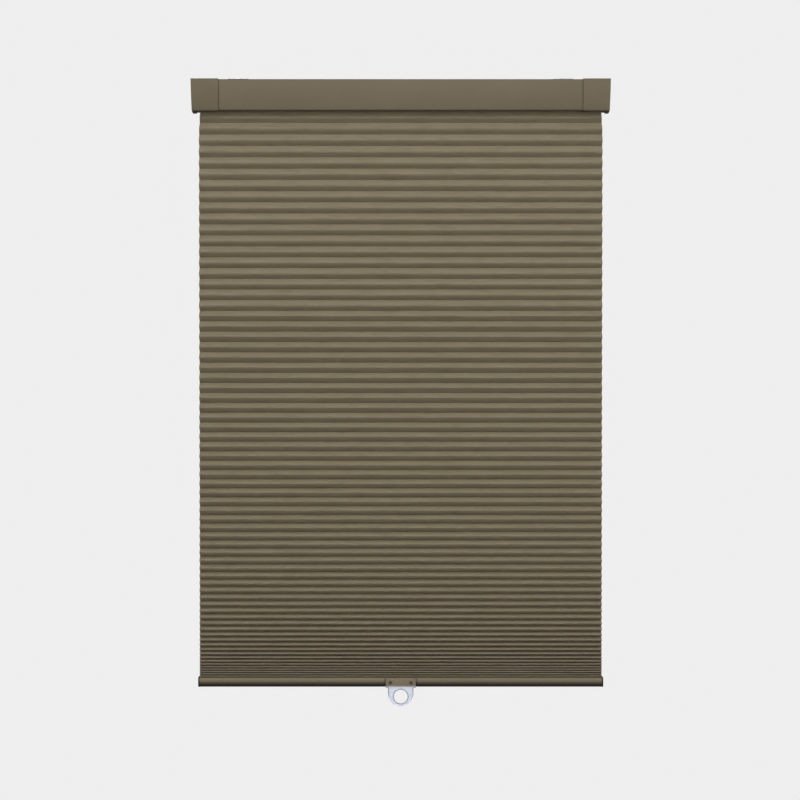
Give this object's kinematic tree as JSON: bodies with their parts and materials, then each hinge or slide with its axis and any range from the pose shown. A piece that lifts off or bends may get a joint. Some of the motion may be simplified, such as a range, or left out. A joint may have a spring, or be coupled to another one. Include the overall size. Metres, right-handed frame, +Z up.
{
  "type": "pleated blind",
  "caption": "Cordless cellular blind: a headrail with a hidden spring lift, a honeycomb cloth and a bottom rail with a clear finger handle.",
  "frame": {"origin": "middle of the four bracket screw holes, on the face of the window head that the brackets are screwed to", "axes": "+X along the blind, -Y faces the room, +Z up"},
  "size_m": [0.53, 0.046, 0.7919],
  "materials": {
    "headrail_paint": "satin taupe paint on an extrusion",
    "cap_plastic": "satin taupe moulding",
    "cell_fabric": "taupe spun-bonded cloth",
    "clear_plastic": "clear moulding",
    "bracket_steel": "zinc-plated",
    "shaft_steel": "bright drawn",
    "spring_steel": "blued strip",
    "screw_steel": "dark plated",
    "motor_plastic": "natural moulding",
    "drum_plastic": "natural moulding",
    "spool_plastic": "black moulding",
    "insert_plastic": "extruded strip",
    "cord_fibre": "braided taupe cord"
  },
  "bodies": {
    "root": {"bracket_left": "bracket_steel", "bracket_right": "bracket_steel", "cell_cloth": "cell_fabric", "end_cap_left": "cap_plastic", "end_cap_right": "cap_plastic", "headrail": "headrail_paint", "lift_cord_left": "cord_fibre", "lift_cord_right": "cord_fibre", "lift_cradle_cap_left": "motor_plastic", "lift_cradle_cap_right": "motor_plastic", "lift_cradle_left": "motor_plastic", "lift_cradle_right": "motor_plastic", "motor_base": "motor_plastic", "motor_cover": "motor_plastic", "motor_screws": "screw_steel", "motor_spring": "spring_steel", "top_insert": "insert_plastic"},
    "lift": {"bottom_rail": "headrail_paint", "bottom_rail_cap_left": "cap_plastic", "bottom_rail_cap_right": "cap_plastic", "bottom_insert": "insert_plastic", "cord_button_left": "spool_plastic", "cord_button_right": "spool_plastic", "handle": "clear_plastic", "handle_screws": "screw_steel"},
    "drive": {"drive_shaft": "shaft_steel", "lift_spool_left": "spool_plastic", "lift_spool_right": "spool_plastic", "wound_cord_left": "cord_fibre", "wound_cord_right": "cord_fibre", "output_drum": "drum_plastic"},
    "storage": {"storage_drum": "drum_plastic"}
  },
  "joints": [
    {"name": "rail_lift", "type": "slide", "parent": "root", "child": "lift", "axis": [0, 0, 1], "range_m": [0, 0.655], "deforming": ["cell_cloth", "lift_cord_left", "lift_cord_right"]},
    {"name": "drive_spin", "type": "hinge", "parent": "root", "child": "drive", "pos_m": [0, 0.00855, -0.017], "axis": [-1, 0, 0], "range_deg": [0, 4391]},
    {"name": "storage_spin", "type": "hinge", "parent": "root", "child": "storage", "pos_m": [0, -0.00855, -0.017], "axis": [1, 0, 0], "range_deg": [0, 4391]}
  ],
  "couplings": [
    {"joint": "drive_spin", "follows": "rail_lift", "rad_per_m": 116.96},
    {"joint": "storage_spin", "follows": "rail_lift", "rad_per_m": 116.96}
  ]
}
